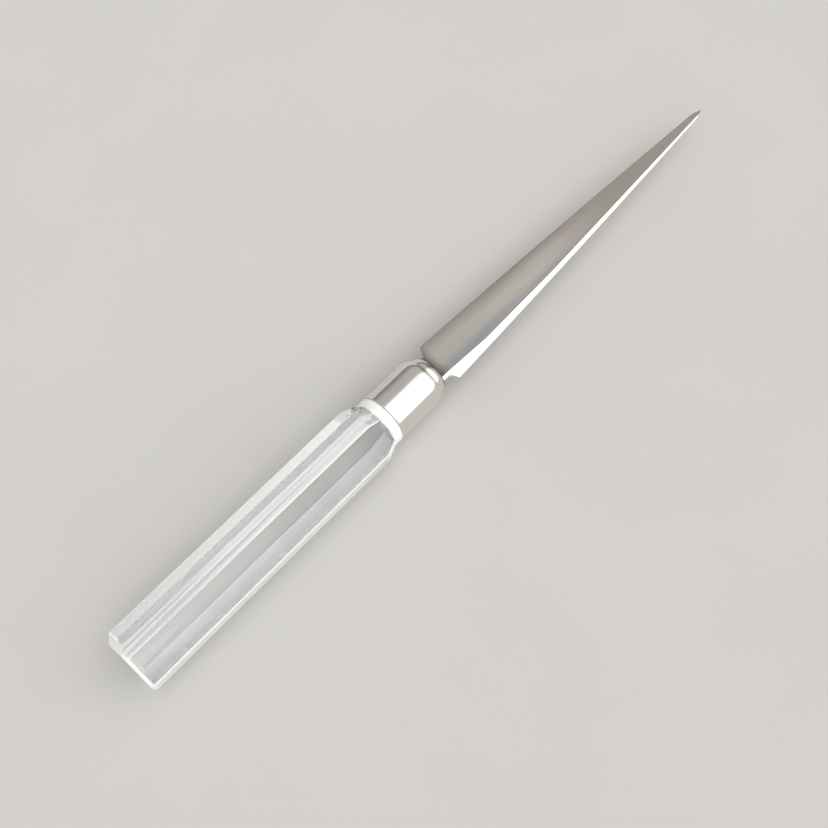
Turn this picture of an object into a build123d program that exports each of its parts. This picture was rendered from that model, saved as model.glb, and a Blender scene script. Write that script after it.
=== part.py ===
"""Letter opener: clear faceted handle, polished ferrule and bevelled steel blade, bonded round one tang."""
from build123d import *
import math
import os

# Driving dimensions, in millimetres

# Handle: a square clear bar with its long edges cut to narrow facets, lying on one of them
bar_across_flats = 15.25
edge_facet_width = 3.7
bar_length = 81.9
butt_bevel = 0.95
butt_far_bevel = 2.0
shoulder_length = 4.2
neck_across_flats = 12.9
neck_facet_width = 4.0
edge_break = 0.25
collar_radius = 7.3
collar_length = 3.0
collar_chamfer = 0.6

# Ferrule: a drawn shell with a rounded lip, a groove and a narrower nose, measured from its open base
ferrule_base_radius = 7.3
ferrule_end_radius = 7.25
ferrule_body_length = 13.0
lip_length = 2.5
lip_radius = 6.7
groove_width = 0.3
groove_radius = 5.75
nose_length = 2.8
nose_base_radius = 6.0
nose_radius = 4.9
ferrule_wall = 0.6
room_cone_length = 6.0
room_cone_radius = 4.5

# Blade: flat plate, measured along the axis from the back of its root
blade_length = 120.65
plate_thickness = 1.5
tip_thickness = 0.4
edge_thickness = 0.2
heel_far_reach = 3.5
heel_far_half = 7.25
heel_near_reach = 3.95
heel_near_half = 6.65
root_far_reach = 1.8
root_half = 4.3
root_near_reach = 2.4
notch_depth = 0.3
far_bow = 0.3
near_bow = 0.33
tip_side = 0.25
tip_far_back = 5.2
tip_far_half = 1.5
tip_bulge_back = 2.1
tip_bulge_half = 1.06
tip_near_back = 3.6
tip_near_half = 0.64
spine_break = 0.15

# Bevel along the near edge: wide at the heel, then narrower in two runs, as far as the tip
heel_bevel = 3.2
first_reach = 18.0
first_half = 6.09
first_bevel = 1.94
second_reach = 48.0
second_half = 4.69
second_bevel = 1.18

# Hidden joint of the three pieces
spigot_end_gap = 1.0
bore_radius = 2.9
bore_depth = 13.0
drill_point_angle = 118.0
tang_half = 2.5
tang_end_gap = 1.0
fit_clearance = 0.1
bond_gap = 0.03

# Places along the axis, with the middle of the whole length at zero
lip_reach = ferrule_body_length + lip_length
nose_reach = lip_reach + groove_width
ferrule_length = nose_reach + nose_length
spigot_length = ferrule_length - ferrule_wall - room_cone_length - spigot_end_gap
overall_length = bar_length + shoulder_length + collar_length + ferrule_length + blade_length
butt_x = -overall_length / 2
shoulder_x = butt_x + bar_length
collar_x = shoulder_x + shoulder_length
ferrule_x = collar_x + collar_length
root_x = ferrule_x + ferrule_length

# The axis is as high as the narrow facets are far from it
axis_height = bar_across_flats / math.sqrt(2) - edge_facet_width / 2
long_axis = Axis((0, 0, axis_height), (1, 0, 0))
wall_slope = (ferrule_end_radius - ferrule_base_radius) / ferrule_body_length
drill_point_length = bore_radius / math.tan(math.radians(drill_point_angle / 2))
tang_length = ferrule_length - spigot_length + bore_depth - tang_end_gap


def cross_plane(x: float) -> Plane:
    """Plane square to the axis at x, with its own x to the far side and its own y upwards."""
    return Plane(origin=(x, 0, axis_height), x_dir=(0, 1, 0), z_dir=(1, 0, 0))


def lengthwise_plane(x: float) -> Plane:
    """Upright plane through the axis, measured forwards from x and outwards from the axis."""
    return Plane(origin=(x, 0, axis_height), x_dir=(1, 0, 0), z_dir=(0, -1, 0))


def blade_plane(x: float) -> Plane:
    """Level plane through the axis, measured forwards from x and towards the far side."""
    return Plane(origin=(x, 0, axis_height), x_dir=(1, 0, 0), z_dir=(0, 0, 1))


def bar_section(x: float, across_flats: float, facet_width: float) -> Sketch:
    """Section of the bar at x: a square standing on its corner, cut to narrow facets with broken edges."""
    with BuildSketch(cross_plane(x)) as section:
        Rectangle(across_flats, across_flats, rotation=45)
        chamfer(section.vertices(), facet_width / math.sqrt(2))
        chamfer(section.vertices(), edge_break)
    return section.sketch


def bevel_plane(turn: float, reach: float, bevel: float) -> Plane:
    """Plane of the butt's bevel on the facet at a turn about the axis, in degrees, and a reach from it."""
    outward = Vector(0, 1, 0).rotate(Axis.X, turn)
    foot = Vector(butt_x + bevel, 0, axis_height) + outward * reach
    return Plane(origin=foot, z_dir=outward - Vector(1, 0, 0))


def ferrule_room(inset: float, start: float = 0.0) -> Sketch:
    """Half section of the ferrule's inside from start to its coned nose, inset from the outside."""
    nose_end = ferrule_length - inset
    cone_start = nose_end - room_cone_length
    with BuildSketch(lengthwise_plane(ferrule_x)) as room:
        with BuildLine():
            Polyline(
                (start, 0),
                (start, ferrule_base_radius + wall_slope * start - inset),
                (cone_start, ferrule_base_radius + wall_slope * cone_start - inset),
                (nose_end, room_cone_radius - inset),
                (nose_end, 0),
                close=True,
            )
        make_face()
    return room.sketch


def face_height(reach: float) -> float:
    """Height of the blade's tapering face above its middle plane, at a reach from the root."""
    taper = (plate_thickness - tip_thickness) / 2 / (blade_length - heel_far_reach)
    return plate_thickness / 2 - taper * (reach - heel_far_reach)


def ground_plane(first: tuple, second: tuple, third: tuple, side: int) -> Plane:
    """Plane of a ground face through three points on the upper side, or mirrored to the lower side."""
    points = [Vector(root_x + s, y, axis_height + side * height) for s, y, height in (first, second, third)]
    along = points[1] - points[0]
    normal = along.cross(points[2] - points[0])
    if normal.Z * side < 0:
        normal = -normal
    return Plane(origin=points[0], x_dir=along, z_dir=normal)


# Handle
with BuildPart() as handle:
    extrude(bar_section(butt_x, bar_across_flats, edge_facet_width), amount=bar_length)
    for turn in range(0, 360, 45):
        reach = bar_across_flats / 2 if turn % 90 else axis_height
        bevel = butt_far_bevel if turn in (0, 45, 315) else butt_bevel
        split(bisect_by=bevel_plane(turn, reach, bevel), keep=Keep.BOTTOM)
    loft(
        [
            bar_section(shoulder_x, bar_across_flats, edge_facet_width),
            bar_section(collar_x + collar_chamfer, neck_across_flats, neck_facet_width),
        ],
        ruled=True,
    )
    with BuildSketch(lengthwise_plane(collar_x)) as neck_profile:
        spigot_base = ferrule_base_radius - ferrule_wall - fit_clearance
        spigot_end = spigot_base + wall_slope * spigot_length
        with BuildLine():
            Polyline(
                (0, 0),
                (0, collar_radius),
                (collar_length, collar_radius),
                (collar_length, spigot_base),
                (collar_length + spigot_length, spigot_end),
                (collar_length + spigot_length, 0),
                close=True,
            )
        make_face()
        collar_corners = neck_profile.vertices().sort_by(Axis.Y)[-2:]
        chamfer(collar_corners, collar_chamfer)
    revolve(axis=long_axis)
    with BuildSketch(lengthwise_plane(ferrule_x + spigot_length)) as bore_profile:
        with BuildLine():
            Polyline(
                (0, 0),
                (0, bore_radius),
                (-bore_depth, bore_radius),
                (-bore_depth - drill_point_length, 0),
                close=True,
            )
        make_face()
    revolve(axis=long_axis, mode=Mode.SUBTRACT)
handle.part.label = "handle"

# Ferrule
with BuildPart() as ferrule:
    wall_end = (ferrule_body_length, ferrule_end_radius)
    lip_end = (lip_reach, lip_radius)
    nose_start = (nose_reach, nose_base_radius)
    nose_end = (ferrule_length, nose_radius)
    with BuildSketch(lengthwise_plane(ferrule_x)) as shell_profile:
        with BuildLine():
            Polyline((0, 0), (0, ferrule_base_radius), wall_end)
            TangentArc(wall_end, lip_end, tangent=(1, wall_slope))
            Polyline(lip_end, (lip_reach, groove_radius), (nose_reach, groove_radius), nose_start)
            TangentArc(nose_start, nose_end, tangent=(1, wall_slope))
            Polyline(nose_end, (ferrule_length, 0), (0, 0))
        make_face()
    revolve(axis=long_axis)
    revolve(ferrule_room(ferrule_wall), axis=long_axis, mode=Mode.SUBTRACT)
    with BuildSketch(cross_plane(root_x)) as slot:
        Rectangle(2 * (tang_half + fit_clearance), plate_thickness + 2 * fit_clearance)
    extrude(amount=-nose_length, mode=Mode.SUBTRACT)
ferrule.part.label = "ferrule"

# Blade
with BuildPart() as blade:
    far_corner = (heel_far_reach, heel_far_half)
    near_corner = (heel_near_reach, -heel_near_half)
    far_tip = (blade_length - tip_far_back, tip_far_half)
    tip_bulge = (blade_length - tip_bulge_back, tip_bulge_half)
    point = (blade_length, tip_side)
    near_tip = (blade_length - tip_near_back, -tip_near_half)
    notch_start = (root_near_reach, -root_half)
    with BuildSketch(blade_plane(root_x)) as outline:
        with BuildLine():
            Polyline(
                notch_start,
                (0, -root_half),
                (0, -tang_half),
                (-tang_length, -tang_half),
                (-tang_length, tang_half),
                (0, tang_half),
                (0, root_half),
                (root_far_reach, root_half),
                far_corner,
            )
            SagittaArc(far_corner, far_tip, far_bow)
            ThreePointArc(far_tip, tip_bulge, point)
            Line(point, near_tip)
            SagittaArc(near_tip, near_corner, near_bow)
            SagittaArc(near_corner, notch_start, -notch_depth)
        make_face()
    extrude(amount=plate_thickness / 2, both=True)
    for side in (1, -1):
        heel_middle = (heel_far_reach, 0, face_height(heel_far_reach))
        heel_far = (*far_corner, face_height(heel_far_reach))
        tip_face = (blade_length, 0, face_height(blade_length))
        split(bisect_by=ground_plane(heel_middle, heel_far, tip_face, side), keep=Keep.BOTTOM)
        heel_edge = (*near_corner, edge_thickness / 2)
        heel_ridge = (heel_near_reach, heel_bevel - heel_near_half, face_height(heel_near_reach))
        first_edge = (first_reach, -first_half, edge_thickness / 2)
        first_ridge = (first_reach, first_bevel - first_half, face_height(first_reach))
        second_edge = (second_reach, -second_half, edge_thickness / 2)
        second_ridge = (second_reach, second_bevel - second_half, face_height(second_reach))
        tip_edge = (*near_tip, edge_thickness / 2)
        split(bisect_by=ground_plane(heel_edge, heel_ridge, first_ridge, side), keep=Keep.BOTTOM)
        split(bisect_by=ground_plane(first_edge, first_ridge, second_ridge, side), keep=Keep.BOTTOM)
        split(bisect_by=ground_plane(second_edge, second_ridge, tip_edge, side), keep=Keep.BOTTOM)
    rim_edges = blade.edges().filter_by(GeomType.ELLIPSE)
    chamfer(rim_edges.filter_by_position(Axis.Y, 0, heel_far_half), spine_break)
blade.part.label = "blade"

# Cement round the tang, in the drilled hole and in the nose of the ferrule
with BuildPart() as tang_cement:
    revolve(ferrule_room(ferrule_wall + bond_gap, spigot_length + bond_gap), axis=long_axis)
    with BuildSketch(lengthwise_plane(ferrule_x + spigot_length + bond_gap)) as plug_profile:
        with BuildLine():
            Polyline(
                (0, 0),
                (0, bore_radius - bond_gap),
                (-bore_depth, bore_radius - bond_gap),
                (-bore_depth - drill_point_length + 2 * bond_gap, 0),
                close=True,
            )
        make_face()
    revolve(axis=long_axis)
    with BuildSketch(cross_plane(root_x)) as tang_room:
        Rectangle(2 * (tang_half + bond_gap), plate_thickness + 2 * bond_gap)
    extrude(amount=-tang_length - bond_gap, mode=Mode.SUBTRACT)
tang_cement.part.label = "tang_cement"

os.makedirs("parts", exist_ok=True)
for piece in (handle, ferrule, blade, tang_cement):
    export_step(piece.part, f"parts/{piece.part.label}.step")
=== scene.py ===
"""Dressed letter opener: clear faceted handle, plated ferrule and steel blade on a pale floor."""
from __future__ import annotations

import logging
import math
from collections.abc import Callable, Sequence
from dataclasses import dataclass, field
from enum import Enum

import bmesh
import bpy
from bpy.types import Material, MeshPolygon, Node, NodeSocket, NodeTree, Object
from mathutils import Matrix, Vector


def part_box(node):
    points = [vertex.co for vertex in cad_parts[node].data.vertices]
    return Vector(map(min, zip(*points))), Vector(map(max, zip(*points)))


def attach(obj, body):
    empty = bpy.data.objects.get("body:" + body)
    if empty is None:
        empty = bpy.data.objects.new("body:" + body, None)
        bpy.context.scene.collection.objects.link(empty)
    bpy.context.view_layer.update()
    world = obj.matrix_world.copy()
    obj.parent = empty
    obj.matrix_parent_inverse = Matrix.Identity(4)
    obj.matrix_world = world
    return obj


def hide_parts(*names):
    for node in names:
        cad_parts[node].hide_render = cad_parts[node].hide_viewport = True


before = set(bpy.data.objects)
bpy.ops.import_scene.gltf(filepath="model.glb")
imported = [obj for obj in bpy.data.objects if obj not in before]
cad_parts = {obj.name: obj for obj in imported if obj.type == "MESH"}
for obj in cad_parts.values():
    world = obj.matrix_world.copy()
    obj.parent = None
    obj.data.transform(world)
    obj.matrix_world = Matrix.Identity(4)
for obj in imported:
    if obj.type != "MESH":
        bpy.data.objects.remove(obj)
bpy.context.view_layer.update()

LOG = logging.getLogger("letter_opener")
MM = 0.001

# Shares of a unit vector past which a face is square to the axis and an edge runs along it
SQUARE_ON = 0.99
LENGTHWISE = 0.9

# Values between which nearly all of a noise lies
NOISE_LOW = 0.3
NOISE_HIGH = 0.7

# Sockets by which a Mix node takes and gives colours
FIRST_COLOUR = 6
SECOND_COLOUR = 7
MIXED_COLOUR = 2

Pair = tuple[float, float]
Colour = tuple[float, float, float, float]


class Element(Enum):
    """What kind of mesh element an edit picks."""

    EDGE = "EDGE"
    FACE = "FACE"


class Cut(Enum):
    """How one solid is combined with another."""

    JOIN = "UNION"
    REMOVE = "DIFFERENCE"


class Surface(Enum):
    """How a face of the handle was finished, as the number of its material."""

    BUFFED = 0
    SATIN = 1
    SCUFFED = 2


# Modelling helpers


def deselect() -> None:
    """Leave nothing selected, so that an operator acts on the new piece alone."""
    bpy.ops.object.select_all(action="DESELECT")


def make_active(piece: Object) -> None:
    """Select one object alone and make it active.

    Args:
        piece: the object.
    """
    deselect()
    piece.select_set(True)
    bpy.context.view_layer.objects.active = piece


def apply_place(piece: Object, name: str) -> Object:
    """Put a new primitive's place and size into its mesh.

    Args:
        piece: the primitive, just added and selected.
        name: the name that the piece keeps.

    Returns:
        The same object, at the origin, unturned and unscaled.
    """
    piece.name = name
    piece.data.name = name
    bpy.ops.object.transform_apply(location=True, rotation=True, scale=True)
    return piece


def add_block(name: str, middle: Vector, size: Vector, turn: float = 0.0) -> Object:
    """Add a block, turned about the long axis.

    Args:
        name: the name of the piece.
        middle: the block's middle, in metres.
        size: its length, width and height, in metres.
        turn: its turn about the long axis, in radians.

    Returns:
        The block.
    """
    deselect()
    bpy.ops.mesh.primitive_cube_add(size=1.0, location=middle, rotation=(turn, 0.0, 0.0))
    block = bpy.context.object
    block.scale = size
    return apply_place(block, name)


def close_edit() -> None:
    """Turn the edited mesh's faces outwards and leave edit mode."""
    bpy.ops.mesh.select_all(action="SELECT")
    bpy.ops.mesh.normals_make_consistent(inside=False)
    bpy.ops.object.mode_set(mode="OBJECT")


def add_turned(name: str, profile: Sequence[Pair], height: float, sides: int) -> Object:
    """Turn a solid about the long axis by extruding a disc from station to station.

    Args:
        name: the name of the piece.
        profile: pairs of place along the axis and radius, in metres, from one end to the other.
        height: height of the axis, in metres.
        sides: how many sides each ring has.

    Returns:
        The turned solid, closed at both ends.
    """
    deselect()
    start, radius = profile[0]
    bpy.ops.mesh.primitive_circle_add(
        vertices=sides,
        radius=radius,
        fill_type="NGON",
        location=(start, 0.0, height),
        rotation=(0.0, math.pi / 2, 0.0),
    )
    solid = apply_place(bpy.context.object, name)
    bpy.ops.object.mode_set(mode="EDIT")
    bpy.ops.mesh.select_all(action="SELECT")
    for place, next_radius in profile[1:]:
        step = (place - start, 0.0, 0.0)
        bpy.ops.mesh.extrude_region_move(TRANSFORM_OT_translate={"value": step})
        if next_radius == 0.0:
            bpy.ops.mesh.merge(type="CENTER")
            break
        ratio = next_radius / radius
        centre = (place, 0.0, height)
        bpy.ops.transform.resize(value=(1.0, ratio, ratio), center_override=centre)
        start, radius = place, next_radius
    close_edit()
    return solid


def pick(kind: Element, test: Callable[..., bool]) -> None:
    """Select the elements of the mesh in edit mode that pass a test.

    Args:
        kind: edges or faces.
        test: takes an edge or a face and says whether it is wanted.
    """
    bpy.ops.mesh.select_mode(type=kind.value)
    bpy.ops.mesh.select_all(action="DESELECT")
    mesh = bmesh.from_edit_mesh(bpy.context.edit_object.data)
    for element in mesh.edges if kind is Element.EDGE else mesh.faces:
        element.select_set(bool(test(element)))
    bmesh.update_edit_mesh(bpy.context.edit_object.data)


def edge_line(edge: bmesh.types.BMEdge) -> Vector:
    """Unit vector along an edge."""
    return (edge.verts[1].co - edge.verts[0].co).normalized()


def combine(piece: Object, other: Object, cut: Cut) -> None:
    """Join a second solid to a piece or cut it away, and drop the second solid.

    Args:
        piece: the solid that stays.
        other: the solid that is used up.
        cut: whether it is joined or removed.
    """
    make_active(piece)
    step = piece.modifiers.new("combine", "BOOLEAN")
    step.operation = cut.value
    step.solver = "EXACT"
    step.object = other
    bpy.ops.object.modifier_apply(modifier=step.name)
    bpy.data.objects.remove(other, do_unlink=True)


def smooth(piece: Object, degrees: float) -> None:
    """Shade a piece smooth across edges flatter than an angle.

    Args:
        piece: the finished mesh.
        degrees: edges sharper than this stay crisp.
    """
    make_active(piece)
    bpy.ops.object.shade_smooth_by_angle(angle=math.radians(degrees))


def arc(middle: Pair, radius: float, first: float, last: float, steps: int) -> list[Pair]:
    """Points of a round in a turned profile.

    Args:
        middle: the arc's middle, as place along the axis and distance from it.
        radius: the arc's radius.
        first: angle of its first point in degrees, from the axis direction towards the outside.
        last: angle of its last point.
        steps: how many straight steps stand for it.

    Returns:
        The points, first and last included.
    """
    angles = [math.radians(first + (last - first) * step / steps) for step in range(steps + 1)]
    return [
        (middle[0] + radius * math.cos(angle), middle[1] + radius * math.sin(angle))
        for angle in angles
    ]


# Finishes


def linear(colour: str) -> Colour:
    """Turn an sRGB hex colour into the linear values that a shader takes.

    Args:
        colour: the colour, such as "#A0A0A0".

    Returns:
        Red, green, blue and full opacity.
    """
    channels = [int(colour[place : place + 2], 16) / 255 for place in (1, 3, 5)]
    # The sRGB curve is straight close to black and a power above that
    values = [c / 12.92 if c <= 0.04045 else ((c + 0.055) / 1.055) ** 2.4 for c in channels]
    return values[0], values[1], values[2], 1.0


def add_node(tree: NodeTree, kind: str, settings: dict[str | int, object]) -> Node:
    """Add a shader node with its settings and links.

    Args:
        tree: the node tree that takes it.
        kind: the node's type, without the leading ShaderNode.
        settings: values by name; a socket as a value is linked, any other is set.

    Returns:
        The new node.
    """
    node = tree.nodes.new("ShaderNode" + kind)
    for name, value in settings.items():
        if isinstance(value, NodeSocket):
            tree.links.new(value, node.inputs[name])
        elif isinstance(name, str) and hasattr(node, name):
            setattr(node, name, value)
        else:
            node.inputs[name].default_value = value
    return node


def per_metre(*sizes: float) -> tuple[float, ...]:
    """Pattern scale along each axis from the size in millimetres of one repeat."""
    return tuple(1.0 / (size * MM) for size in sizes)


def set_stops(ramp: Node, stops: Sequence[tuple[float, Colour]]) -> None:
    """Give a colour ramp its stops.

    Args:
        ramp: the ramp, new and with its two stops.
        stops: pairs of place from 0 to 1 and linear colour, in order.
    """
    elements = ramp.color_ramp.elements
    elements.remove(elements[1])
    for number, (place, colour) in enumerate(stops):
        stop = elements.new(place) if number else elements[0]
        stop.position = place
        stop.color = colour


def new_material(name: str) -> tuple[Material, NodeTree, NodeSocket]:
    """Start a node material on Object coordinates.

    Args:
        name: the material's name.

    Returns:
        The material, its empty node tree and the coordinates' socket.
    """
    material = bpy.data.materials.new(name)
    material.use_nodes = True
    material.node_tree.nodes.clear()
    place = add_node(material.node_tree, "TexCoord", {})
    return material, material.node_tree, place.outputs["Object"]


def close_material(tree: NodeTree, shader: Node) -> None:
    """Link a shader to a material's output."""
    add_node(tree, "OutputMaterial", {"Surface": shader.outputs[0]})


def set_materials(piece: Object, *materials: Material) -> None:
    """Give a piece its materials.

    Args:
        piece: the piece.
        materials: its materials, in the order of its slots.
    """
    piece.data.materials.clear()
    for material in materials:
        piece.data.materials.append(material)


@dataclass(frozen=True)
class Acrylic:
    """Clear cast acrylic bar whose long edges are rubbed white by use.

    The butt's place is in metres, and all other lengths are in millimetres.
    """

    butt: tuple[float, float, float]
    half_height: float
    half_facet: float
    ior: float = 1.49
    wear_core: float = 0.05
    wear_reach: float = 0.42
    wear_wander: float = 0.3
    wear_length: float = 40.0
    wear_width: float = 1.0
    worn_clear: float = 0.05
    top_wear: float = 0.15

    def measure(self, tree: NodeTree, place: NodeSocket) -> Node:
        """Millimetres along the bar from the butt, and across it from its axis.

        Args:
            tree: the material's node tree.
            place: Object coordinates.

        Returns:
            The node whose outputs are the three distances.
        """
        from_butt = add_node(tree, "Mapping", {
            "Vector": place,
            "Location": tuple(-part / MM for part in self.butt),
            "Scale": per_metre(1.0, 1.0, 1.0),
        })
        return add_node(tree, "SeparateXYZ", {0: from_butt.outputs[0]})

    def wear_edges(self, tree: NodeTree, place: NodeSocket, parts: Node) -> NodeSocket:
        """Share of wear: 1 on a long edge and 0 a fraction of a millimetre from it.

        Args:
            tree: the material's node tree.
            place: Object coordinates.
            parts: the distances along and across the bar.

        Returns:
            The socket with the share.
        """
        side, rise = (
            add_node(tree, "Math", {"operation": "ABSOLUTE", 0: parts.outputs[axis]}).outputs[0]
            for axis in ("Y", "Z")
        )
        # The eight edges are mirror images, so the larger and the smaller distance place them all
        more, less = (
            add_node(tree, "Math", {"operation": choice, 0: side, 1: rise}).outputs[0]
            for choice in ("MAXIMUM", "MINIMUM")
        )
        corner = add_node(tree, "CombineXYZ", {"X": more, "Y": less})
        gap = add_node(tree, "VectorMath", {
            "operation": "DISTANCE",
            0: corner.outputs[0],
            1: (self.half_height, self.half_facet, 0.0),
        })
        lie = add_node(tree, "Mapping", {
            "Vector": place,
            "Scale": per_metre(self.wear_length, self.wear_width, self.wear_width),
        })
        wander = add_node(tree, "TexNoise", {
            "Vector": lie.outputs[0], "Scale": 1.0, "Detail": 2.0,
        })
        sway = add_node(tree, "MapRange", {
            "Value": wander.outputs[0], "From Min": NOISE_LOW, "From Max": NOISE_HIGH,
            "To Min": -self.wear_wander / 2, "To Max": self.wear_wander / 2,
        })
        reach = add_node(tree, "Math", {
            "operation": "ADD", 0: gap.outputs["Value"], 1: sway.outputs[0],
        })
        share = add_node(tree, "MapRange", {
            "interpolation_type": "SMOOTHSTEP", "Value": reach.outputs[0],
            "From Min": self.wear_core, "From Max": self.wear_reach,
            "To Min": 1.0, "To Max": 0.0,
        })
        # The two top edges touch nothing when the opener is put down, and are worn less
        spared = add_node(tree, "MapRange", {
            "Value": parts.outputs["Z"], "From Min": self.half_facet, "From Max": self.half_height,
            "To Min": 1.0, "To Max": self.top_wear,
        })
        wear_and_tip_tone = add_node(tree, "Math", {
            "operation": "MULTIPLY", 0: share.outputs[0], 1: spared.outputs[0],
        })
        return wear_and_tip_tone.outputs[0]


@dataclass(frozen=True)
class ClearAcrylic(Acrylic):
    """The acrylic where it was buffed by hand, and use has laid a thin haze on it."""

    name: str = "clear_acrylic_buffed"
    tint: str = "#FBFDFE"
    bar_length: float = 82.0
    buffing_wave: float = 9.0
    buffing_depth: float = 0.012
    scratch_length: float = 14.0
    scratch_width: float = 0.22
    scratch_lift: float = 9.0
    scratch_skew: float = 14.0
    scratch_span: Pair = (0.7, 0.8)
    scratch_roughness: float = 0.16
    polish_roughness: float = 0.008
    worn_roughness: float = 0.5
    haze_length: float = 50.0
    haze_width: float = 5.0
    least_haze: float = 0.08
    most_haze: float = 0.22
    butt_share: float = 1.7
    shoulder_share: float = 0.0
    palm_from: float = 3.5
    palm_to: float = 6.0
    low_share: float = 0.2

    def veil(self, tree: NodeTree, place: NodeSocket, parts: Node) -> NodeSocket:
        """Clearness under a haze of fine wipe marks, thickest at the butt, where the hand lies.

        Args:
            tree: the material's node tree.
            place: Object coordinates.
            parts: the distances along and across the bar.

        Returns:
            The socket with the clear share.
        """
        lie = add_node(tree, "Mapping", {
            "Vector": place,
            "Scale": per_metre(self.haze_length, self.haze_width, self.haze_width),
        })
        wipes = add_node(tree, "TexNoise", {
            "Vector": lie.outputs[0], "Scale": 1.0, "Detail": 1.0,
        })
        haze = add_node(tree, "MapRange", {
            "Value": wipes.outputs[0], "From Min": NOISE_LOW, "From Max": NOISE_HIGH,
            "To Min": self.least_haze, "To Max": self.most_haze,
        })
        fade = add_node(tree, "MapRange", {
            "Value": parts.outputs["X"], "From Min": 0.0, "From Max": self.bar_length,
            "To Min": self.butt_share, "To Max": self.shoulder_share,
        })
        # The palm lies on the upper part of the wide facets, and below it they stay clearer
        held = add_node(tree, "MapRange", {
            "Value": parts.outputs["Z"], "From Min": self.palm_from, "From Max": self.palm_to,
            "To Min": self.low_share,
        })
        laid = add_node(tree, "Math", {
            "operation": "MULTIPLY", 0: haze.outputs[0], 1: fade.outputs[0],
        })
        kept = add_node(tree, "Math", {
            "operation": "MULTIPLY", 0: laid.outputs[0], 1: held.outputs[0],
        })
        clear = add_node(tree, "Math", {"operation": "SUBTRACT", 0: 1.0, 1: kept.outputs[0]})
        return clear.outputs[0]

    def make(self) -> Material:
        """Make the material.

        Returns:
            The buffed acrylic.
        """
        # The eye sees through it as through glass, past slightly wavy facets, a thin haze and a
        # few hairline scratches that catch the light
        material, tree, place = new_material(self.name)
        parts = self.measure(tree, place)
        wear = self.wear_edges(tree, place, parts)
        clear = add_node(tree, "MapRange", {
            "Value": wear, "To Min": self.veil(tree, place, parts), "To Max": self.worn_clear,
        })
        wave = add_node(tree, "TexNoise", {
            "Vector": place, "Scale": per_metre(self.buffing_wave)[0], "Detail": 1.0,
        })
        # Scratches run mostly along the bar, a little askew, and are drawn wider than real so
        # that they show
        lie = add_node(tree, "Mapping", {
            "Vector": place,
            "Rotation": (0.0, math.radians(self.scratch_lift), math.radians(self.scratch_skew)),
            "Scale": per_metre(self.scratch_length, self.scratch_width, self.scratch_width),
        })
        streaks = add_node(tree, "TexNoise", {
            "Vector": lie.outputs[0], "Scale": 1.0, "Detail": 0.0,
        })
        scratches = add_node(tree, "MapRange", {
            "Value": streaks.outputs[0],
            "From Min": self.scratch_span[0], "From Max": self.scratch_span[1],
            "To Min": self.polish_roughness, "To Max": self.scratch_roughness,
        })
        rough = add_node(tree, "MapRange", {
            "Value": wear, "To Min": scratches.outputs[0], "To Max": self.worn_roughness,
        })
        ripple = add_node(tree, "Bump", {
            "Height": wave.outputs[0], "Strength": 1.0, "Distance": self.buffing_depth * MM,
        })
        shader = add_node(tree, "BsdfPrincipled", {
            "Base Color": linear(self.tint),
            "IOR": self.ior,
            "Transmission Weight": clear.outputs[0],
            "Roughness": rough.outputs[0],
            "Normal": ripple.outputs[0],
        })
        close_material(tree, shader)
        return material


@dataclass(frozen=True)
class SatinAcrylic(Acrylic):
    """The acrylic where it was only milled, and handling has smoothed it."""

    name: str = "clear_acrylic_satin"
    tint: str = "#FCFDFE"
    mark_length: float = 70.0
    mark_width: float = 0.9
    mark_depth: float = 0.006
    mark_span: Pair = (0.38, 0.62)
    least_clear: float = 0.3
    most_clear: float = 0.75
    least_roughness: float = 0.3
    most_roughness: float = 0.5

    def make(self) -> Material:
        """Make the material.

        Returns:
            The milled acrylic.
        """
        # The eye sees a whitish, translucent surface with the cutter's streaks along the bar
        material, tree, place = new_material(self.name)
        wear = self.wear_edges(tree, place, self.measure(tree, place))
        # The cutter's marks are drawn wider than real so that they show
        lie = add_node(tree, "Mapping", {
            "Vector": place,
            "Scale": per_metre(self.mark_length, self.mark_width, self.mark_width),
        })
        marks = add_node(tree, "TexNoise", {
            "Vector": lie.outputs[0], "Scale": 1.0, "Detail": 3.0,
        })
        # A mark that is less clear is also rougher
        streaks, haze = (
            add_node(tree, "MapRange", {
                "Value": marks.outputs[0],
                "From Min": self.mark_span[0], "From Max": self.mark_span[1],
                "To Min": low, "To Max": high,
            }).outputs[0]
            for low, high in (
                (self.least_clear, self.most_clear),
                (self.most_roughness, self.least_roughness),
            )
        )
        clear = add_node(tree, "MapRange", {
            "Value": wear, "To Min": streaks, "To Max": self.worn_clear,
        })
        relief = add_node(tree, "Bump", {
            "Height": marks.outputs[0], "Strength": 1.0, "Distance": self.mark_depth * MM,
        })
        shader = add_node(tree, "BsdfPrincipled", {
            "Base Color": linear(self.tint),
            "IOR": self.ior,
            "Transmission Weight": clear.outputs[0],
            "Roughness": haze,
            "Normal": relief.outputs[0],
        })
        close_material(tree, shader)
        return material


@dataclass(frozen=True)
class ScuffedAcrylic(SatinAcrylic):
    """The acrylic where it was sanded or turned, or is rubbed whenever the opener is put down."""

    # The eye sees it as nearly white, with short scuffs and hardly any sight through it
    name: str = "clear_acrylic_scuffed"
    mark_length: float = 6.0
    least_clear: float = 0.0
    most_clear: float = 0.12
    least_roughness: float = 0.45
    most_roughness: float = 0.6


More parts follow.
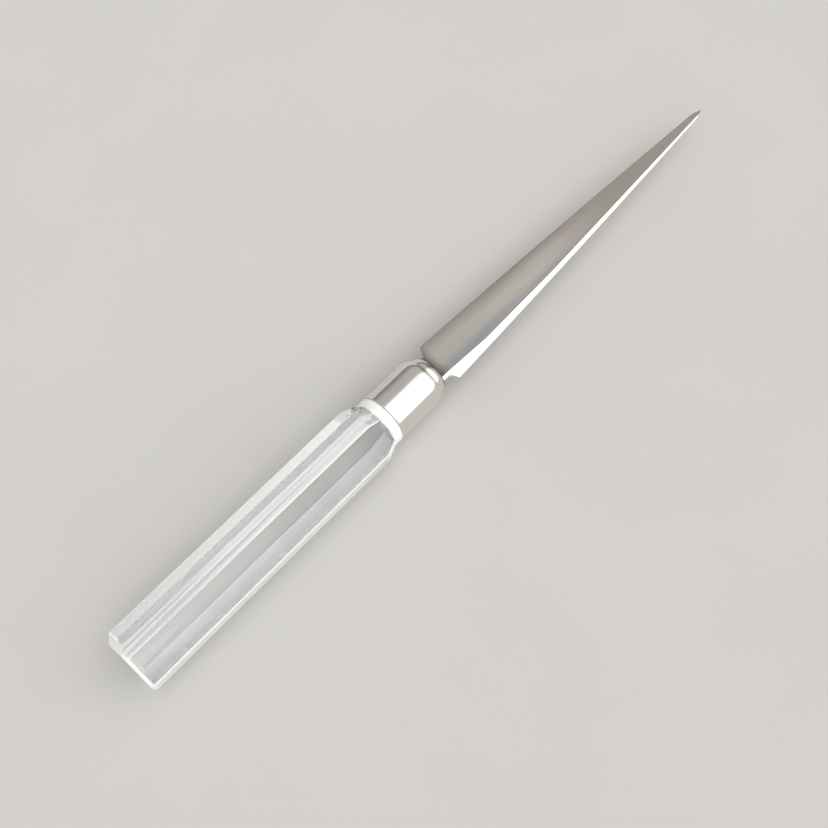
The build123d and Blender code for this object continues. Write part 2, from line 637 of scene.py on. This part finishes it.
@dataclass(frozen=True)
class NickelPlate:
    """Bright nickel plate on a drawn brass shell, buffed while it turned.

    The nose's place is in metres, and all other lengths are in millimetres.
    """

    nose_x: float
    name: str = "nickel_plate_bright"
    bright: str = "#EEECE8"
    dull: str = "#E0DDD7"
    # Painted shade in the corner by the blade, and how far back from the nose it reaches
    corner_shade: str = "#76716B"
    corner_shade_reach: float = 1.1
    smudge_size: float = 5.0
    smudge_span: Pair = (0.35, 0.75)
    ring_spacing: float = 0.25
    ring_length: float = 50.0
    ring_depth: float = 0.0004
    least_roughness: float = 0.06
    most_roughness: float = 0.15

    def make(self) -> Material:
        """Make the material.

        Returns:
            The nickel plate.
        """
        # The eye sees a faintly warm mirror with turning rings and cloudy handling marks
        material, tree, place = new_material(self.name)
        clouds = add_node(tree, "TexNoise", {
            "Vector": place, "Scale": per_metre(self.smudge_size)[0], "Detail": 4.0,
        })
        colour = add_node(tree, "Mix", {
            "data_type": "RGBA", "Factor": clouds.outputs[0],
            FIRST_COLOUR: linear(self.bright), SECOND_COLOUR: linear(self.dull),
        })
        # Painted shade: the plate darkens towards the nose, into the corner between the nose and
        # the blade
        along = add_node(tree, "SeparateXYZ", {0: place})
        corner_shading = add_node(tree, "MapRange", {
            "interpolation_type": "SMOOTHSTEP", "Value": along.outputs["X"],
            "From Min": self.nose_x - self.corner_shade_reach * MM, "From Max": self.nose_x,
        })
        plate = add_node(tree, "Mix", {
            "data_type": "RGBA", "Factor": corner_shading.outputs[0],
            FIRST_COLOUR: colour.outputs[MIXED_COLOUR], SECOND_COLOUR: linear(self.corner_shade),
        })
        haze = add_node(tree, "MapRange", {
            "Value": clouds.outputs[0],
            "From Min": self.smudge_span[0], "From Max": self.smudge_span[1],
            "To Min": self.least_roughness, "To Max": self.most_roughness,
        })
        # Rings as fine as a real buff's would not show, so these are drawn coarser
        rings_place = add_node(tree, "Mapping", {
            "Vector": place,
            "Scale": per_metre(self.ring_spacing, self.ring_length, self.ring_length),
        })
        rings = add_node(tree, "TexNoise", {
            "Vector": rings_place.outputs[0], "Scale": 1.0, "Detail": 2.0,
        })
        turned = add_node(tree, "Bump", {
            "Height": rings.outputs[0], "Strength": 1.0, "Distance": self.ring_depth * MM,
        })
        shader = add_node(tree, "BsdfPrincipled", {
            "Base Color": plate.outputs[MIXED_COLOUR],
            "Metallic": 1.0,
            "Roughness": haze.outputs[0],
            "Normal": turned.outputs[0],
        })
        close_material(tree, shader)
        return material


@dataclass(frozen=True)
class GroundSteel:
    """Stainless strip, ground lengthwise and buffed to a soft satin.

    The root's place is in metres, and all other lengths are in millimetres.
    """

    root_x: float
    name: str = "stainless_steel_satin"
    # Painted reflections: tones across the flat face, from the bevel's ridge to the spine
    reflection_tones: tuple[tuple[float, str], ...] = (
        (0.0, "#B9BBBF"),
        (0.14, "#BFC0C1"),
        (0.4, "#D6D1CA"),
        (0.62, "#D8D2CA"),
        (0.86, "#BBB6AF"),
        (1.0, "#A6A19B"),
    )
    ridge_start: float = -4.3
    ridge_curve: float = 0.0003
    spine_start: float = 7.45
    spine_slope: float = -0.0511
    drift: float = 0.3
    # The even tone that the painted reflections fade into towards the tip, and where they fade
    wear_and_tip_tone: str = "#BDB6AF"
    even_from: float = 46.0
    even_to: float = 76.0
    # Painted highlight on the bevel
    bevel: str = "#F1EFEB"
    bevel_slope: float = 0.1
    # Painted shade at the root by the ferrule, and how far along it reaches
    corner_shade: str = "#5F5B57"
    corner_shade_reach: float = 4.6
    stain_length: float = 60.0
    stain_width: float = 8.0
    grind_length: float = 35.0
    grind_width: float = 0.16
    grind_depth: float = 0.0012
    least_roughness: float = 0.15
    most_roughness: float = 0.26

    def across_face(self, tree: NodeTree, along: NodeSocket, side: NodeSocket) -> Node:
        """Share of the way across the flat face, from the bevel's ridge to the spine.

        Args:
            tree: the material's node tree.
            along: distance from the root in millimetres.
            side: distance from the middle towards the spine in millimetres.

        Returns:
            The node whose value is 0 at the ridge and 1 at the spine.
        """
        square = add_node(tree, "Math", {"operation": "MULTIPLY", 0: along, 1: along})
        ridge = add_node(tree, "Math", {
            "operation": "MULTIPLY_ADD",
            0: square.outputs[0], 1: self.ridge_curve, 2: self.ridge_start,
        })
        spine = add_node(tree, "Math", {
            "operation": "MULTIPLY_ADD", 0: along, 1: self.spine_slope, 2: self.spine_start,
        })
        return add_node(tree, "MapRange", {
            "Value": side, "From Min": ridge.outputs[0], "From Max": spine.outputs[0],
        })

    def tone_face(
        self, tree: NodeTree, place: NodeSocket, normal: NodeSocket, clouds: Node
    ) -> NodeSocket:
        """Colour of the blade: painted reflections across the face (bluish ridge, warm middle,
        dull spine), painted shade at the root and a painted highlight on the bevel.

        Args:
            tree: the material's node tree.
            place: Object coordinates.
            normal: the surface's direction in the same coordinates.
            clouds: noise that makes the tones drift.

        Returns:
            The socket with the colour.
        """
        from_root = add_node(tree, "Mapping", {
            "Vector": place,
            "Location": (-self.root_x / MM, 0.0, 0.0),
            "Scale": per_metre(1.0, 1.0, 1.0),
        })
        parts = add_node(tree, "SeparateXYZ", {0: from_root.outputs[0]})
        share = self.across_face(tree, parts.outputs["X"], parts.outputs["Y"])
        sway = add_node(tree, "MapRange", {
            "Value": clouds.outputs[0], "From Min": NOISE_LOW, "From Max": NOISE_HIGH,
            "To Min": -self.drift / 2, "To Max": self.drift / 2,
        })
        drifted = add_node(tree, "Math", {
            "operation": "ADD", 0: share.outputs[0], 1: sway.outputs[0],
        })
        # Painted reflection: the tones change across the face from the ridge to the spine
        tones = add_node(tree, "ValToRGB", {"Fac": drifted.outputs[0]})
        set_stops(tones, [(stop, linear(tone)) for stop, tone in self.reflection_tones])
        # Towards the tip the painted reflections fade into one even tone
        faded = add_node(tree, "MapRange", {
            "interpolation_type": "SMOOTHSTEP", "Value": parts.outputs["X"],
            "From Min": self.even_from, "From Max": self.even_to,
        })
        evened = add_node(tree, "Mix", {
            "data_type": "RGBA", "Factor": faded.outputs[0],
            FIRST_COLOUR: tones.outputs[0], SECOND_COLOUR: linear(self.wear_and_tip_tone),
        })
        # Painted shade: the steel darkens towards the corner by the ferrule
        corner_shading = add_node(tree, "MapRange", {
            "interpolation_type": "SMOOTHSTEP", "Value": parts.outputs["X"],
            "From Min": 0.0, "From Max": self.corner_shade_reach, "To Min": 1.0, "To Max": 0.0,
        })
        face = add_node(tree, "Mix", {
            "data_type": "RGBA", "Factor": corner_shading.outputs[0],
            FIRST_COLOUR: evened.outputs[MIXED_COLOUR], SECOND_COLOUR: linear(self.corner_shade),
        })
        # Painted highlight: the bevel leans to the near side, where the room is bright, and is
        # painted lighter than the face
        lean = add_node(tree, "SeparateXYZ", {0: normal})
        bevel_highlight_share = add_node(tree, "Math", {
            "operation": "LESS_THAN", 0: lean.outputs["Y"], 1: -self.bevel_slope,
        })
        steel = add_node(tree, "Mix", {
            "data_type": "RGBA", "Factor": bevel_highlight_share.outputs[0],
            FIRST_COLOUR: face.outputs[MIXED_COLOUR], SECOND_COLOUR: linear(self.bevel),
        })
        return steel.outputs[MIXED_COLOUR]

    def make(self) -> Material:
        """Make the material.

        Returns:
            The ground steel.
        """
        # The eye sees a warm grey with fine lengthwise lines, cloudy with old finger marks
        material, tree, place = new_material(self.name)
        stains_place = add_node(tree, "Mapping", {
            "Vector": place,
            "Scale": per_metre(self.stain_length, self.stain_width, self.stain_width),
        })
        clouds = add_node(tree, "TexNoise", {
            "Vector": stains_place.outputs[0], "Scale": 1.0, "Detail": 5.0,
        })
        colour = self.tone_face(tree, place, place.node.outputs["Normal"], clouds)
        haze = add_node(tree, "MapRange", {
            "Value": clouds.outputs[0], "From Min": NOISE_LOW, "From Max": NOISE_HIGH,
            "To Min": self.least_roughness, "To Max": self.most_roughness,
        })
        # The real grinding lines are finer than a pixel, so these are drawn coarser
        lines_place = add_node(tree, "Mapping", {
            "Vector": place,
            "Scale": per_metre(self.grind_length, self.grind_width, self.grind_width),
        })
        lines = add_node(tree, "TexNoise", {
            "Vector": lines_place.outputs[0], "Scale": 1.0, "Detail": 3.0,
        })
        ground = add_node(tree, "Bump", {
            "Height": lines.outputs[0], "Strength": 1.0, "Distance": self.grind_depth * MM,
        })
        shader = add_node(tree, "BsdfPrincipled", {
            "Base Color": colour,
            "Metallic": 1.0,
            "Roughness": haze.outputs[0],
            "Normal": ground.outputs[0],
        })
        close_material(tree, shader)
        return material


@dataclass(frozen=True)
class SetCement:
    """Two-part cement that set in the drilled hole; lengths are in millimetres."""

    name: str = "epoxy_cement_set"
    pale: str = "#F2EFE8"
    dark: str = "#E2DDD2"
    lump: float = 1.2
    grain_depth: float = 0.05
    roughness: float = 0.45

    def make(self) -> Material:
        """Make the material.

        Returns:
            The set cement.
        """
        # The eye sees an off-white, slightly glossy mass that is a little lumpy
        material, tree, place = new_material(self.name)
        lumps = add_node(tree, "TexNoise", {
            "Vector": place, "Scale": per_metre(self.lump)[0], "Detail": 3.0,
        })
        colour = add_node(tree, "Mix", {
            "data_type": "RGBA", "Factor": lumps.outputs[0],
            FIRST_COLOUR: linear(self.pale), SECOND_COLOUR: linear(self.dark),
        })
        grain = add_node(tree, "Bump", {
            "Height": lumps.outputs[0], "Strength": 1.0, "Distance": self.grain_depth * MM,
        })
        shader = add_node(tree, "BsdfPrincipled", {
            "Base Color": colour.outputs[MIXED_COLOUR],
            "Roughness": self.roughness,
            "Normal": grain.outputs[0],
        })
        close_material(tree, shader)
        return material


@dataclass(frozen=True)
class PaperFloor:
    """Seamless backdrop paper; lengths are in millimetres."""

    name: str = "backdrop_paper"
    pale: str = "#CCCBC9"
    shade: str = "#C7C6C4"
    mottle: float = 60.0
    roughness: float = 0.9
    gloss: float = 0.2

    def make(self) -> Material:
        """Make the material.

        Returns:
            The backdrop paper.
        """
        # The eye sees an even pale grey with the faint mottle of paper
        material, tree, place = new_material(self.name)
        mottle = add_node(tree, "TexNoise", {
            "Vector": place, "Scale": per_metre(self.mottle)[0], "Detail": 3.0,
        })
        colour = add_node(tree, "Mix", {
            "data_type": "RGBA", "Factor": mottle.outputs[0],
            FIRST_COLOUR: linear(self.pale), SECOND_COLOUR: linear(self.shade),
        })
        shader = add_node(tree, "BsdfPrincipled", {
            "Base Color": colour.outputs[MIXED_COLOUR],
            "Roughness": self.roughness,
            "Specular IOR Level": self.gloss,
        })
        close_material(tree, shader)
        return material


# Sub-assemblies, with lengths in metres


@dataclass
class Handle:
    """Clear bar on a narrow facet: bevelled butt, shoulder, round collar and hidden spigot."""

    across_flats: float = 15.25 * MM
    facet: float = 3.7 * MM
    butt_bevel: float = 0.95 * MM
    butt_far_bevel: float = 2.0 * MM
    far_turns: tuple[int, ...] = (0, 45, 315)
    cut_slack: float = 1e-7
    bar_length: float = 81.9 * MM
    shoulder_length: float = 4.2 * MM
    neck_across: float = 12.9 * MM
    neck_facet: float = 4.0 * MM
    edge_round: float = 0.25 * MM
    edge_steps: int = 3
    edge_from: float = 10.0
    crisp_from: float = 9.0
    collar_radius: float = 7.3 * MM
    collar_length: float = 3.0 * MM
    collar_round: float = 0.7 * MM
    spigot_base: float = 6.6 * MM
    spigot_end: float = 6.55 * MM
    bore_radius: float = 2.9 * MM
    bore_depth: float = 13.0 * MM
    bore_overrun: float = 1.0 * MM
    drill_point_angle: float = 118.0
    sides: int = 144
    round_steps: int = 12
    bevel_lean: float = 0.5
    wide_slack: float = 0.05
    side_facet: float = 0.93
    top_facet: float = 0.8
    butt_x: float = field(init=False)
    spigot_x: float = field(init=False)
    axis_height: float = field(init=False)
    shoulder_x: float = field(init=False)
    collar_x: float = field(init=False)
    ferrule_x: float = field(init=False)

    def __post_init__(self) -> None:
        """Take the bar's place from the frame."""
        low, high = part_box("handle")
        self.butt_x = low.x
        self.spigot_x = high.x
        self.axis_height = (low.z + high.z) / 2
        self.shoulder_x = self.butt_x + self.bar_length
        self.collar_x = self.shoulder_x + self.shoulder_length
        self.ferrule_x = self.collar_x + self.collar_length

    def prism(self, name: str, first: float, last: float, across: float, facet: float) -> Object:
        """Mill a square bar on its corner and cut its long edges to narrow facets.

        Args:
            name: the name of the piece.
            first: where it starts along the axis.
            last: where it ends.
            across: its width across the wide facets.
            facet: the width of its narrow facets.

        Returns:
            The eight-sided bar.
        """
        middle = Vector(((first + last) / 2, 0.0, self.axis_height))
        bar = add_block(name, middle, Vector((last - first, across, across)), math.pi / 4)
        bpy.ops.object.mode_set(mode="EDIT")
        pick(Element.EDGE, lambda edge: abs(edge_line(edge).x) > LENGTHWISE)
        bpy.ops.mesh.bevel(offset=facet, offset_type="WIDTH", segments=1, affect="EDGES")
        bpy.ops.object.mode_set(mode="OBJECT")
        return bar

    def bevel_butt(self) -> None:
        """Grind the bevels of the butt on the active bar, one plane for each facet."""
        bpy.ops.object.mode_set(mode="EDIT")
        # Eight facets an eighth of a turn apart, narrow and wide by turns, the far one first
        for turn in range(0, 360, 45):
            reach = self.across_flats / 2 if turn % 90 else self.axis_height
            bevel = self.butt_far_bevel if turn in self.far_turns else self.butt_bevel
            angle = math.radians(turn)
            outward = Vector((0.0, math.cos(angle), math.sin(angle)))
            foot = Vector((self.butt_x + bevel, 0.0, self.axis_height)) + outward * reach
            bpy.ops.mesh.select_all(action="SELECT")
            bpy.ops.mesh.bisect(
                plane_co=foot,
                plane_no=outward - Vector((1.0, 0.0, 0.0)),
                use_fill=True,
                clear_outer=True,
                threshold=self.cut_slack,
            )
        close_edit()

    def at_shoulder(self, face: bmesh.types.BMFace) -> bool:
        """Tell whether a face is one of the two ends that the shoulder lies between.

        Args:
            face: a face of the bar or the neck.

        Returns:
            Whether it is square to the axis, at the shoulder's start or its end.
        """
        place = face.calc_center_median().x
        gap = min(abs(place - end) for end in (self.shoulder_x, self.collar_x))
        return abs(face.normal.x) > SQUARE_ON and gap < self.edge_round

    def turn_collar(self) -> Object:
        """Turn the round collar and the tapered spigot behind it.

        Returns:
            Collar and spigot as one solid.
        """
        inner = self.collar_radius - self.collar_round
        back = (self.collar_x + self.collar_round, inner)
        front = (self.ferrule_x - self.collar_round, inner)
        profile = [
            *arc(back, self.collar_round, 180.0, 90.0, self.round_steps),
            *arc(front, self.collar_round, 90.0, 0.0, self.round_steps),
            (self.ferrule_x, self.spigot_base),
            (self.spigot_x, self.spigot_end),
        ]
        return add_turned("collar", profile, self.axis_height, self.sides)

    def turn_bore(self) -> Object:
        """Turn the shape of the drilled hole, with its drill point.

        Returns:
            The solid to cut away.
        """
        bottom = self.spigot_x - self.bore_depth
        point = self.bore_radius / math.tan(math.radians(self.drill_point_angle / 2))
        profile = [
            (self.spigot_x + self.bore_overrun, self.bore_radius),
            (bottom, self.bore_radius),
            (bottom - point, 0.0),
        ]
        return add_turned("bore", profile, self.axis_height, self.sides)

    def build(self) -> Object:
        """Mill the bar, bridge it to the neck, round its edges, and turn collar and spigot on it.

        Returns:
            The handle.
        """
        bar = self.prism(
            "handle_clear_bar", self.butt_x, self.shoulder_x, self.across_flats, self.facet
        )
        self.bevel_butt()
        neck_end = self.collar_x + self.collar_round
        neck = self.prism("neck", self.collar_x, neck_end, self.neck_across, self.neck_facet)
        make_active(bar)
        neck.select_set(True)
        bpy.ops.object.join()
        bpy.ops.object.mode_set(mode="EDIT")
        pick(Element.FACE, self.at_shoulder)
        bpy.ops.mesh.bridge_edge_loops()
        close_edit()
        rounds = bar.modifiers.new("polished_edges", "BEVEL")
        rounds.width = self.edge_round
        rounds.segments = self.edge_steps
        rounds.limit_method = "ANGLE"
        rounds.angle_limit = math.radians(self.edge_from)
        bpy.ops.object.modifier_apply(modifier=rounds.name)
        combine(bar, self.turn_collar(), Cut.JOIN)
        combine(bar, self.turn_bore(), Cut.REMOVE)
        smooth(bar, self.crisp_from)
        return bar

    def surface(self, face: MeshPolygon) -> Surface:
        """Tell how a face of the handle was finished.

        Args:
            face: a face of the handle.

        Returns:
            Buffed for the wide facets and the butt's end, satin for the narrow facets that hands
            touch, and scuffed for the rest: the facet that the bar lies on, the broken edges, the
            bevels and the collar.
        """
        normal = face.normal
        if normal.x < -SQUARE_ON:
            return Surface.BUFFED
        if abs(normal.x) > self.bevel_lean or face.center.x > self.collar_x:
            return Surface.SCUFFED
        if abs(abs(normal.y) - abs(normal.z)) < self.wide_slack:
            return Surface.BUFFED
        touched = abs(normal.y) > self.side_facet or normal.z > self.top_facet
        return Surface.SATIN if touched else Surface.SCUFFED

    def dress(self, piece: Object) -> None:
        """Give each face its finish and hand the handle to the frame.

        Args:
            piece: the handle.
        """
        butt = (self.butt_x, 0.0, self.axis_height)
        sizes = (self.axis_height / MM, self.facet / (2 * MM))
        finishes = (ClearAcrylic, SatinAcrylic, ScuffedAcrylic)
        set_materials(piece, *(finish(butt, *sizes).make() for finish in finishes))
        for face in piece.data.polygons:
            face.material_index = self.surface(face).value
        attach(piece, "root")
        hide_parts("handle")


@dataclass
class Ferrule:
    """Drawn shell with a rounded lip, a groove, a narrower domed nose and a slot for the tang."""

    base_radius: float = 7.3 * MM
    end_radius: float = 7.25 * MM
    body_length: float = 13.0 * MM
    lip_length: float = 2.5 * MM
    lip_radius: float = 6.7 * MM
    groove_width: float = 0.3 * MM
    groove_radius: float = 5.75 * MM
    nose_base_radius: float = 6.0 * MM
    nose_radius: float = 4.9 * MM
    nose_round: float = 0.6 * MM
    nose_steps: int = 6
    corner_round: float = 0.1 * MM
    corner_steps: int = 3
    ring_gap: float = 0.4 * MM
    ring_slack: float = 0.025 * MM
    wall: float = 0.6 * MM
    room_overrun: float = 1.0 * MM
    room_cone_length: float = 6.0 * MM
    room_cone_radius: float = 4.5 * MM
    slot_length: float = 4.0 * MM
    slot_half: float = 2.6 * MM
    slot_height: float = 1.7 * MM
    sides: int = 192
    dome_steps: int = 16
    crisp_from: float = 24.0
    base_x: float = field(init=False)
    nose_x: float = field(init=False)
    axis_height: float = field(init=False)
    slope: float = field(init=False)
    lip_x: float = field(init=False)
    neck_x: float = field(init=False)

    def __post_init__(self) -> None:
        """Take the shell's place from the frame."""
        low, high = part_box("ferrule")
        self.base_x = low.x
        self.nose_x = high.x
        self.axis_height = (low.z + high.z) / 2
        self.slope = (self.end_radius - self.base_radius) / self.body_length
        self.lip_x = self.base_x + self.body_length + self.lip_length
        self.neck_x = self.lip_x + self.groove_width

    def dome(self, start: Vector, end: Vector) -> list[Pair]:
        """Profile of a round that leaves the wall's slope without a corner.

        Args:
            start: where it leaves, as place along the axis and radius.
            end: where it ends.

        Returns:
            Its points, first and last included.
        """
        inward = Vector((self.slope, -1.0)).normalized()
        chord = end - start
        radius = chord.length_squared / (2 * chord.dot(inward))
        middle = start + inward * radius
        first = math.degrees(math.atan2(start.y - middle.y, start.x - middle.x))
        last = math.degrees(math.atan2(end.y - middle.y, end.x - middle.x))
        return arc((middle.x, middle.y), radius, first, last, self.dome_steps)

    def is_ring(self, edge: bmesh.types.BMEdge, place: float, radius: float) -> bool:
        """Tell whether an edge runs round the shell at a place along the axis and a radius.

        Args:
            edge: an edge of the shell.
            place: the ring's place along the axis.
            radius: the ring's radius.

        Returns:
            Whether both ends of the edge are on the ring.
        """
        return all(
            abs(end.co.x - place) < self.ring_slack
            and abs(math.hypot(end.co.y, end.co.z - self.axis_height) - radius) < self.ring_slack
            for end in edge.verts
        )

    def round_rings(self, rings: Sequence[Pair], width: float, steps: int) -> None:
        """Round the shell's sharp rings.

        Args:
            rings: pairs of place along the axis and radius.
            width: the size of the round.
            steps: how many straight steps stand for it.
        """
        bpy.ops.object.mode_set(mode="EDIT")
        pick(Element.EDGE, lambda edge: any(self.is_ring(edge, *ring) for ring in rings))
        bpy.ops.mesh.bevel(offset=width, offset_type="OFFSET", segments=steps, affect="EDGES")
        bpy.ops.object.mode_set(mode="OBJECT")

    def turn_room(self) -> Object:
        """Turn the shape of the room inside the shell, which narrows in the nose.

        Returns:
            The solid to cut away.
        """
        cone_end = self.nose_x - self.wall
        cone_start = cone_end - self.room_cone_length
        profile = [
            (
                self.base_x - self.room_overrun,
                self.base_radius - self.slope * self.room_overrun - self.wall,
            ),
            (cone_start, self.base_radius + self.slope * (cone_start - self.base_x) - self.wall),
            (cone_end, self.room_cone_radius - self.wall),
        ]
        return add_turned("inside", profile, self.axis_height, self.sides)

    def build(self) -> Object:
        """Turn the outside, round its corners, cut the inside away and pierce the slot.

        Returns:
            The shell.
        """
        base = (self.base_x, self.base_radius)
        # Rings close to the wall's two ends keep its shading straight between them
        wall_rings = [
            (self.base_x + run, self.base_radius + self.slope * run)
            for run in (self.ring_gap, self.body_length - self.ring_gap)
        ]
        lip = Vector((self.lip_x, self.lip_radius))
        neck = Vector((self.neck_x, self.nose_base_radius))
        nose = Vector((self.nose_x, self.nose_radius))
        profile = [
            base,
            *wall_rings,
            *self.dome(Vector((self.base_x + self.body_length, self.end_radius)), lip),
            (self.lip_x, self.groove_radius),
            (self.neck_x, self.groove_radius),
            *self.dome(neck, nose),
        ]
        shell = add_turned("ferrule_plated_shell", profile, self.axis_height, self.sides)
        self.round_rings([base, tuple(lip), tuple(neck)], self.corner_round, self.corner_steps)
        self.round_rings([tuple(nose)], self.nose_round, self.nose_steps)
        combine(shell, self.turn_room(), Cut.REMOVE)
        slot_middle = Vector((self.nose_x, 0.0, self.axis_height))
        slot_size = Vector((self.slot_length, 2 * self.slot_half, self.slot_height))
        combine(shell, add_block("slot", slot_middle, slot_size), Cut.REMOVE)
        smooth(shell, self.crisp_from)
        return shell

    def dress(self, piece: Object) -> None:
        """Plate the ferrule and hand it to the frame.

        Args:
            piece: the ferrule.
        """
        set_materials(piece, NickelPlate(self.nose_x).make())
        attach(piece, "root")
        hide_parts("ferrule")


@dataclass
class Blade:
    """Ground steel blade with its root and tang, whose solid is right as it is."""

    def build(self) -> Object:
        """Take the blade from the frame."""
        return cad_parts["blade"]

    def dress(self, piece: Object) -> None:
        """Give the blade its steel, with painted shade where it leaves the ferrule."""
        set_materials(piece, GroundSteel(root_x=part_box("ferrule")[1].x).make())


@dataclass
class Bond:
    """Cement round the tang, whose solid is right as it is."""

    def build(self) -> Object:
        """Take the cement from the frame."""
        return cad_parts["tang_cement"]

    def dress(self, piece: Object) -> None:
        """Give the cement its finish."""
        set_materials(piece, SetCement().make())


@dataclass
class Studio:
    """Pale floor, a bright near half and a dim far half of the room, and the camera.

    Pairs of tones are an angle past overhead in degrees, counted towards the far side, and the
    strength of the light from there. A run is the part of a direction along the opener.
    """

    floor_radius: float = 3.0
    floor_sides: int = 96
    floor_gap: float = 0.05 * MM
    floor_crisp_from: float = 30.0
    sweep: tuple[Pair, ...] = (
        (3.6, 0.03),
        (4.2, 0.12),
        (4.8, 0.27),
        (5.4, 0.48),
        (6.0, 0.75),
    )
    near_end: float = -90.0
    far_end: float = 90.0
    far_tones: tuple[Pair, ...] = (
        (-45.0, 1.9),
        (-22.0, 1.9),
        (-10.0, 1.5),
        (6.0, 1.45),
        (11.0, 1.0),
        (16.0, 0.66),
        (20.0, 0.53),
        (40.0, 0.53),
        (57.0, 0.46),
        (68.0, 0.31),
        (90.0, 0.2),
    )
    butt_tones: tuple[Pair, ...] = ((-90.0, 0.74), (-70.0, 0.74), (-58.0, 1.1))
    shoulder_tones: tuple[Pair, ...] = ((-90.0, 1.12), (-70.0, 1.12), (-58.0, 1.3))
    ferrule_tones: tuple[Pair, ...] = ((-90.0, 1.5), (-75.0, 1.8), (-58.0, 1.9))
    shoulder_run: Pair = (0.0, 0.22)
    ferrule_run: Pair = (0.255, 0.29)
    full_tone: float = 1.9
    dim_from: float = 0.66
    dim_to: float = 0.92
    dim_share: float = 0.35
    warm_tint: str = "#FFFDFA"
    camera_place: tuple[float, float, float] = (-0.116575, -0.09566, 0.29220)
    camera_yaw: float = 42.788
    camera_pitch: float = 64.777
    camera_clip: float = 0.01
    focal_pixels: float = 1184.8
    image_pixels: float = 828.0
    sensor_width: float = 36.0

    def lay_floor(self) -> Object:
        """Lay the floor a hair under the opener, and sweep it up far away to hide the room's edge.

        Returns:
            The floor.
        """
        deselect()
        bpy.ops.mesh.primitive_circle_add(
            vertices=self.floor_sides,
            radius=self.floor_radius,
            fill_type="NGON",
            location=(0.0, 0.0, -self.floor_gap),
        )
        floor = apply_place(bpy.context.object, "studio_floor")
        bpy.ops.object.mode_set(mode="EDIT")
        pick(Element.EDGE, lambda edge: edge.is_boundary)
        radius, height = self.floor_radius, 0.0
        for next_radius, next_height in self.sweep:
            step = (0.0, 0.0, next_height - height)
            bpy.ops.mesh.extrude_region_move(TRANSFORM_OT_translate={"value": step})
            ratio = next_radius / radius
            centre = (0.0, 0.0, next_height)
            bpy.ops.transform.resize(value=(ratio, ratio, 1.0), center_override=centre)
            radius, height = next_radius, next_height
        bpy.ops.object.mode_set(mode="OBJECT")
        smooth(floor, self.floor_crisp_from)
        set_materials(floor, PaperFloor().make())
        return floor

    def tone_strip(self, tree: NodeTree, place: Node, low_tones: Sequence[Pair]) -> NodeSocket:
        """Tones of the room across the opener, from the near floor over the top to the far floor.

        Args:
            tree: the world's node tree.
            place: the share of the way across.
            low_tones: the tones low on the near side.

        Returns:
            The socket with the tones, as shares of the full tone.
        """
        ramp = add_node(tree, "ValToRGB", {"Fac": place.outputs[0]})
        stops = []
        for angle, tone in (*low_tones, *self.far_tones):
            share = tone / self.full_tone
            stop = (angle - self.near_end) / (self.far_end - self.near_end)
            stops.append((stop, (share, share, share, 1.0)))
        set_stops(ramp, stops)
        return ramp.outputs[0]

    def light_room(self) -> None:
        """Light the room by long soft strips: bright near and overhead, dim on the far side."""
        world = bpy.data.worlds.new("studio_room")
        world.use_nodes = True
        tree = world.node_tree
        tree.nodes.clear()
        direction = add_node(tree, "TexCoord", {})
        parts = add_node(tree, "SeparateXYZ", {0: direction.outputs["Generated"]})
        # The angle past overhead, counted towards the far side, all along the opener
        past_zenith = add_node(tree, "Math", {
            "operation": "ARCTAN2", 0: parts.outputs["Y"], 1: parts.outputs["Z"],
        })
        place = add_node(tree, "MapRange", {
            "Value": past_zenith.outputs[0],
            "From Min": math.radians(self.near_end), "From Max": math.radians(self.far_end),
        })
        strips = self.tone_strip(tree, place, self.butt_tones)
        for run, low_tones in (
            (self.shoulder_run, self.shoulder_tones),
            (self.ferrule_run, self.ferrule_tones),
        ):
            along = add_node(tree, "MapRange", {
                "Value": parts.outputs["X"], "From Min": run[0], "From Max": run[1],
            })
            blend = add_node(tree, "Mix", {
                "data_type": "RGBA", "Factor": along.outputs[0],
                FIRST_COLOUR: strips, SECOND_COLOUR: self.tone_strip(tree, place, low_tones),
            })
            strips = blend.outputs[MIXED_COLOUR]
        # The room is dimmer low down beyond the blade's tip
        strength = add_node(tree, "MapRange", {
            "interpolation_type": "SMOOTHSTEP", "Value": parts.outputs["X"],
            "From Min": self.dim_from, "From Max": self.dim_to,
            "To Min": self.full_tone, "To Max": self.full_tone * self.dim_share,
        })
        tone = add_node(tree, "Math", {
            "operation": "MULTIPLY", 0: strips, 1: strength.outputs[0],
        })
        glow = add_node(tree, "Background", {
            "Color": linear(self.warm_tint), "Strength": tone.outputs[0],
        })
        add_node(tree, "OutputWorld", {"Surface": glow.outputs[0]})
        bpy.context.scene.world = world

    def set_camera(self) -> Object:
        """Set the camera where the photograph was taken from.

        Returns:
            The camera.
        """
        lens = bpy.data.cameras.new("camera")
        lens.sensor_width = self.sensor_width
        lens.lens = self.focal_pixels / self.image_pixels * self.sensor_width
        lens.clip_start = self.camera_clip
        camera = bpy.data.objects.new("camera", lens)
        camera.location = self.camera_place
        camera.rotation_euler = (
            math.radians(90.0 - self.camera_pitch),
            0.0,
            math.radians(self.camera_yaw - 90.0),
        )
        bpy.context.scene.collection.objects.link(camera)
        bpy.context.scene.camera = camera
        return camera

    def assemble(self) -> None:
        """Set up the whole studio."""
        self.lay_floor()
        self.light_room()
        self.set_camera()
        bpy.context.scene.view_settings.view_transform = "Standard"


def main() -> None:
    """Build the opener piece by piece, then the studio round it, and log each piece's face count.
    """
    logging.basicConfig(level=logging.INFO, format="%(name)s: %(message)s")
    for part in (Handle(), Ferrule(), Blade(), Bond()):
        piece = part.build()
        part.dress(piece)
        LOG.info("%s made, %d faces", piece.name, len(piece.data.polygons))
    Studio().assemble()
    LOG.info("studio set")


if __name__ == "__main__":
    main()
